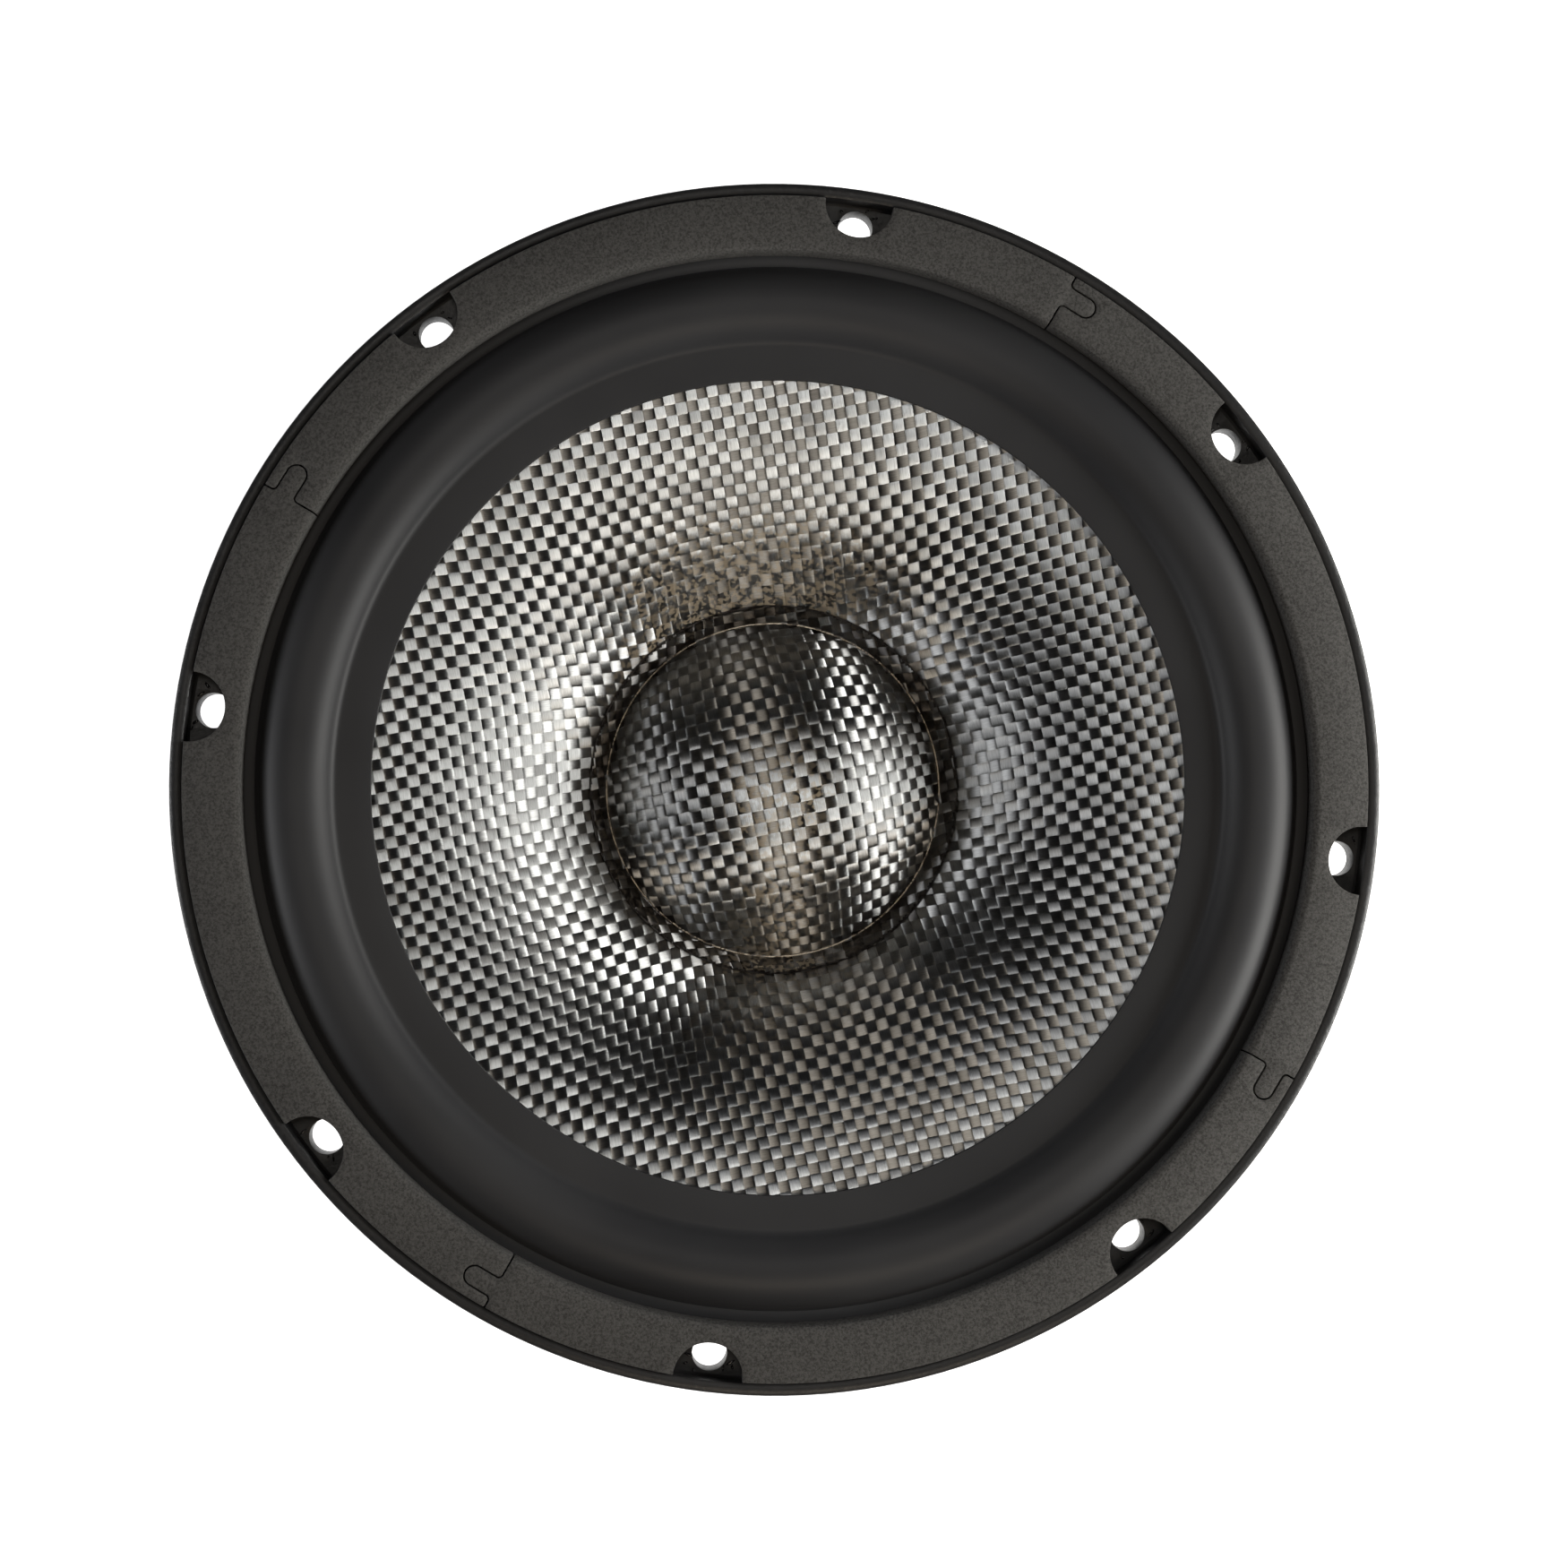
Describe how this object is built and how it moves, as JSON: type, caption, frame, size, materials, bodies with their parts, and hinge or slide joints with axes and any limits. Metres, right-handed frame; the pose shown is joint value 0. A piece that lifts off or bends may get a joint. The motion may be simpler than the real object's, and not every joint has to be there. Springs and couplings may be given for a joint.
{
  "type": "car loudspeaker",
  "caption": "Moving-coil car loudspeaker with a woven cone and dust cap, rubber roll surround, cast frame with a segmented gasket, and a ferrite motor.",
  "frame": {"origin": "middle of the magnet boot's bottom face, on the speaker's axis", "axes": "+Z along the speaker's axis out of the cone, +Y towards the terminal board, speaker lying face up"},
  "size_m": [0.21, 0.21, 0.088],
  "materials": {
    "cast_frame": "matt black paint",
    "gasket_foam": "matt dense foam",
    "surround_rubber": "satin",
    "cone_weave": "silver woven glass fibre in clear resin",
    "cap_weave": "silver woven glass fibre in clear resin",
    "motor_steel": "zinc plated",
    "ferrite": "ground ferrite",
    "boot_rubber": "satin",
    "screen_steel": "punched",
    "copper": "bright",
    "screw_steel": "black zinc",
    "board": "laminate",
    "tin_plate": "tin plated",
    "rivet_brass": "bright",
    "tinsel": "braided",
    "spider_cloth": "resin treated cloth",
    "former": "smooth",
    "solder": "bright"
  },
  "bodies": {
    "frame": {"basket": "cast_frame", "gasket_segment_1": "gasket_foam", "gasket_segment_2": "gasket_foam", "gasket_segment_3": "gasket_foam", "gasket_segment_4": "gasket_foam", "t_yoke": "motor_steel", "pole_copper_cap": "copper", "magnet": "ferrite", "top_plate": "motor_steel", "magnet_boot": "boot_rubber", "vent_screen": "screen_steel", "frame_screw_1": "screw_steel", "frame_screw_2": "screw_steel", "frame_screw_3": "screw_steel", "frame_screw_4": "screw_steel", "terminal_board": "board", "board_rivet": "rivet_brass", "blade_positive": "tin_plate", "blade_negative": "tin_plate", "rivet_positive": "rivet_brass", "rivet_negative": "rivet_brass", "tinsel_lead_positive": "tinsel", "tinsel_lead_negative": "tinsel", "surround": "surround_rubber", "spider": "spider_cloth"},
    "moving_assembly": {"cone": "cone_weave", "dust_cap": "cap_weave", "voice_coil_former": "former", "voice_coil_winding": "copper", "lead_anchor_positive": "solder", "lead_anchor_negative": "solder"}
  },
  "joints": [
    {"name": "cone_excursion", "type": "slide", "parent": "frame", "child": "moving_assembly", "axis": [0, 0, 1], "range_m": [-0.006, 0.006], "stiffness_N_per_m": 2000, "deforming": ["surround", "spider", "tinsel_lead_positive", "tinsel_lead_negative"]}
  ]
}
